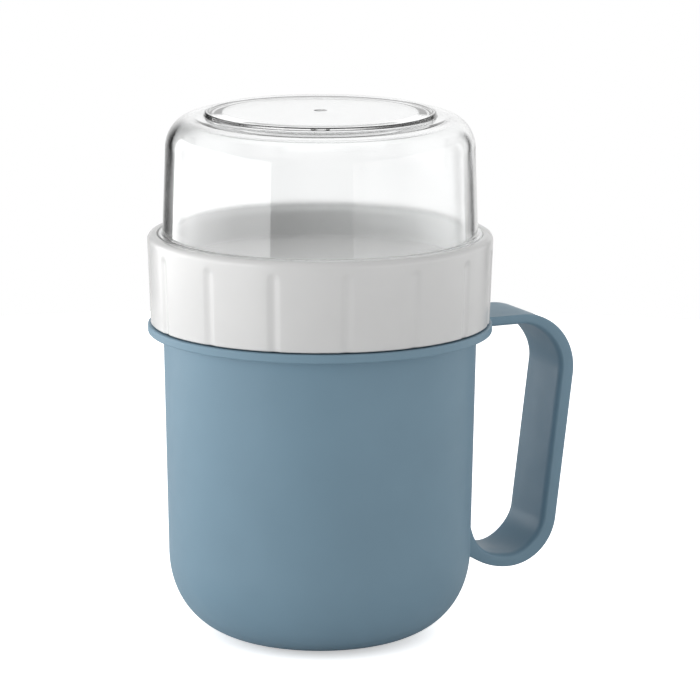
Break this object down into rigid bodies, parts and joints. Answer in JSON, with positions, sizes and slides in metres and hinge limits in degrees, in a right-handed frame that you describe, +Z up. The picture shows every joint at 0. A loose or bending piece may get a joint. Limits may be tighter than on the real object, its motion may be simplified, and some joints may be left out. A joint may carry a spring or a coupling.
{
  "type": "to-go cup",
  "caption": "Blue cup with a moulded strap handle, a fluted white screw lid threaded on both sides, and a clear container that screws upside down into the lid.",
  "frame": {"origin": "middle of the flat base, on the axis of the cup, where it stands", "axes": "+Z up along the cup's axis, +X out along the handle"},
  "size_m": [0.1279, 0.1, 0.1545],
  "materials": {
    "cup": "satin moulded polypropylene, dusty blue",
    "lid": "glossy moulded polypropylene, white",
    "dome": "polished clear plastic",
    "seal": "translucent white silicone"
  },
  "bodies": {
    "cup": {"cup": "cup"},
    "lid_seal": {"lid_seal": "seal"},
    "lid": {"lid": "lid"},
    "dome_seal": {"dome_seal": "seal"},
    "dome": {"dome": "dome"}
  },
  "joints": [
    {"name": "lid_lift", "type": "slide", "parent": "cup", "child": "lid_seal", "axis": [0, 0, 1], "range_m": [0, 0.0301]},
    {"name": "lid_turn", "type": "hinge", "parent": "lid_seal", "child": "lid", "pos_m": [0, 0, 0.1], "axis": [0, 0, 1], "range_deg": [0, 540]},
    {"name": "dome_lift", "type": "slide", "parent": "lid", "child": "dome_seal", "axis": [0, 0, 1], "range_m": [0, 0.0301]},
    {"name": "dome_turn", "type": "hinge", "parent": "dome_seal", "child": "dome", "pos_m": [0, 0, 0.11], "axis": [0, 0, 1], "range_deg": [0, 540]}
  ],
  "couplings": [
    {"joint": "lid_lift", "follows": "lid_turn", "m_per_rad": 0.0031831},
    {"joint": "dome_lift", "follows": "dome_turn", "m_per_rad": 0.0031831}
  ]
}
